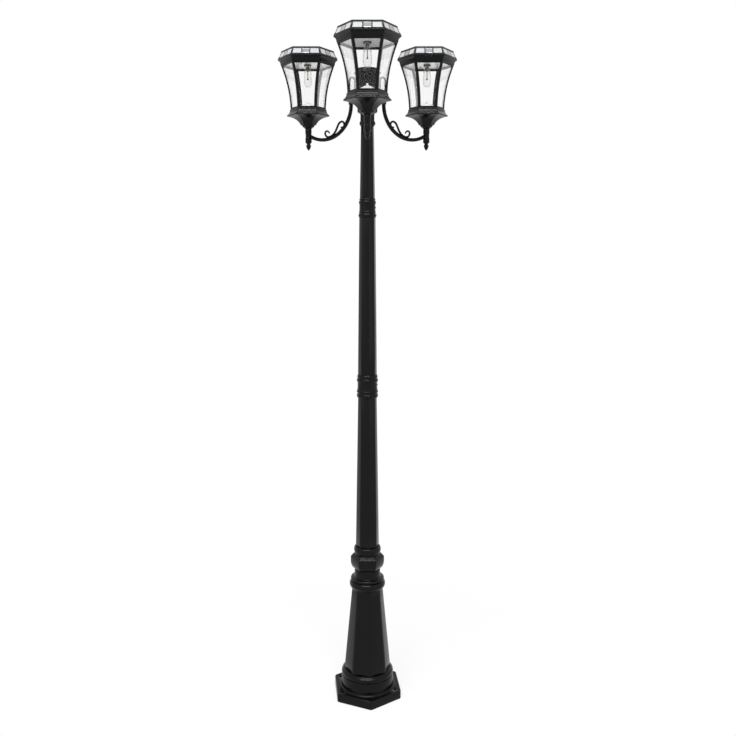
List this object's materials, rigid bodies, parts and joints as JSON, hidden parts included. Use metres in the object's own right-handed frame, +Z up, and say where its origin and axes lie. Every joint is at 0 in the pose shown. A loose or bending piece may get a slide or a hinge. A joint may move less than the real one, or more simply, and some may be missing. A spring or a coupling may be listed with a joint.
{
  "type": "lamp post",
  "caption": "Tall garden lamp post: six-sided glazed lanterns on curved scroll arms above a tapered sectional pole with beaded couplings and a bell base on a flat plate.",
  "frame": {"origin": "middle of the base plate's underside, on the pole's axis", "axes": "+Z up along the pole; -Y toward the front lantern; +X to the right lantern's side"},
  "size_m": [0.5876, 0.509, 2.2035],
  "materials": {
    "black_coat": "satin black powder coat with a fine texture",
    "screws": "black oxide, satin",
    "clear_glass": "clear, faintly streaked",
    "bulb_clear": "clear, glossy",
    "floor_bright": "bright, lightly brushed",
    "ceiling_bright": "bright, finely stippled",
    "solar_cell": "glossy dark cells under a clear cover",
    "holder_plastic": "matt black",
    "battery_wrap": "matt wrap in a black tray",
    "switch_plastic": "matt grey",
    "bulb_metal": "plated, bright",
    "led_strip": "amber coated strips on a clear core"
  },
  "bodies": {
    "post": {"base_casting": "black_coat", "base_collar": "black_coat", "lower_pole": "black_coat", "lower_coupling": "black_coat", "middle_pole": "black_coat", "upper_coupling": "black_coat", "upper_pole": "black_coat", "hub": "black_coat", "hub_cap": "black_coat", "pole_set_screws": "screws", "arm_bolts": "screws", "lamp_set_screws": "screws", "arm_front": "black_coat", "arm_right": "black_coat", "arm_left": "black_coat", "lamp_base_front": "black_coat", "finial_front": "black_coat", "cage_front": "black_coat", "glass_panes_front": "clear_glass", "floor_reflector_front": "floor_bright", "lamp_base_right": "black_coat", "finial_right": "black_coat", "cage_right": "black_coat", "glass_panes_right": "clear_glass", "floor_reflector_right": "floor_bright", "lamp_base_left": "black_coat", "finial_left": "black_coat", "cage_left": "black_coat", "glass_panes_left": "clear_glass", "floor_reflector_left": "floor_bright"},
    "roof_front": {"roof_frame_front": "black_coat", "roof_nuts_front": "screws", "solar_panels_front": "solar_cell", "ceiling_reflector_front": "ceiling_bright", "socket_front": "holder_plastic", "battery_pack_front": "battery_wrap"},
    "switch_front": {"switch_front": "switch_plastic"},
    "bulb_cap_front": {"bulb_cap_front": "bulb_metal"},
    "bulb_front": {"bulb_glass_front": "bulb_clear", "bulb_leds_front": "led_strip"},
    "roof_right": {"roof_frame_right": "black_coat", "roof_nuts_right": "screws", "solar_panels_right": "solar_cell", "ceiling_reflector_right": "ceiling_bright", "socket_right": "holder_plastic", "battery_pack_right": "battery_wrap"},
    "switch_right": {"switch_right": "switch_plastic"},
    "bulb_cap_right": {"bulb_cap_right": "bulb_metal"},
    "bulb_right": {"bulb_glass_right": "bulb_clear", "bulb_leds_right": "led_strip"},
    "roof_left": {"roof_frame_left": "black_coat", "roof_nuts_left": "screws", "solar_panels_left": "solar_cell", "ceiling_reflector_left": "ceiling_bright", "socket_left": "holder_plastic", "battery_pack_left": "battery_wrap"},
    "switch_left": {"switch_left": "switch_plastic"},
    "bulb_cap_left": {"bulb_cap_left": "bulb_metal"},
    "bulb_left": {"bulb_glass_left": "bulb_clear", "bulb_leds_left": "led_strip"}
  },
  "joints": [
    {"name": "roof_lift_front", "type": "slide", "parent": "post", "child": "roof_front", "axis": [0, 0, 1], "range_m": [0, 0.12]},
    {"name": "switch_slide_front", "type": "slide", "parent": "roof_front", "child": "switch_front", "axis": [0, -1, 0], "range_m": [0, 0.005]},
    {"name": "bulb_draw_front", "type": "slide", "parent": "roof_front", "child": "bulb_cap_front", "axis": [0, 0, -1], "range_m": [0, 0.0285]},
    {"name": "bulb_turn_front", "type": "hinge", "parent": "bulb_cap_front", "child": "bulb_front", "pos_m": [0, -0.226, 2.154], "axis": [0, 0, -1], "range_deg": [0, 3600]},
    {"name": "roof_lift_right", "type": "slide", "parent": "post", "child": "roof_right", "axis": [0, 0, 1], "range_m": [0, 0.12]},
    {"name": "switch_slide_right", "type": "slide", "parent": "roof_right", "child": "switch_right", "axis": [0.866, 0.5, 0], "range_m": [0, 0.005]},
    {"name": "bulb_draw_right", "type": "slide", "parent": "roof_right", "child": "bulb_cap_right", "axis": [0, 0, -1], "range_m": [0, 0.0285]},
    {"name": "bulb_turn_right", "type": "hinge", "parent": "bulb_cap_right", "child": "bulb_right", "pos_m": [0.19572, 0.113, 2.154], "axis": [0, 0, -1], "range_deg": [0, 3600]},
    {"name": "roof_lift_left", "type": "slide", "parent": "post", "child": "roof_left", "axis": [0, 0, 1], "range_m": [0, 0.12]},
    {"name": "switch_slide_left", "type": "slide", "parent": "roof_left", "child": "switch_left", "axis": [-0.866, 0.5, 0], "range_m": [0, 0.005]},
    {"name": "bulb_draw_left", "type": "slide", "parent": "roof_left", "child": "bulb_cap_left", "axis": [0, 0, -1], "range_m": [0, 0.0285]},
    {"name": "bulb_turn_left", "type": "hinge", "parent": "bulb_cap_left", "child": "bulb_left", "pos_m": [-0.19572, 0.113, 2.154], "axis": [0, 0, -1], "range_deg": [0, 3600]}
  ],
  "couplings": [
    {"joint": "bulb_draw_front", "follows": "bulb_turn_front", "m_per_rad": 0.00044563},
    {"joint": "bulb_draw_right", "follows": "bulb_turn_right", "m_per_rad": 0.00044563},
    {"joint": "bulb_draw_left", "follows": "bulb_turn_left", "m_per_rad": 0.00044563}
  ]
}
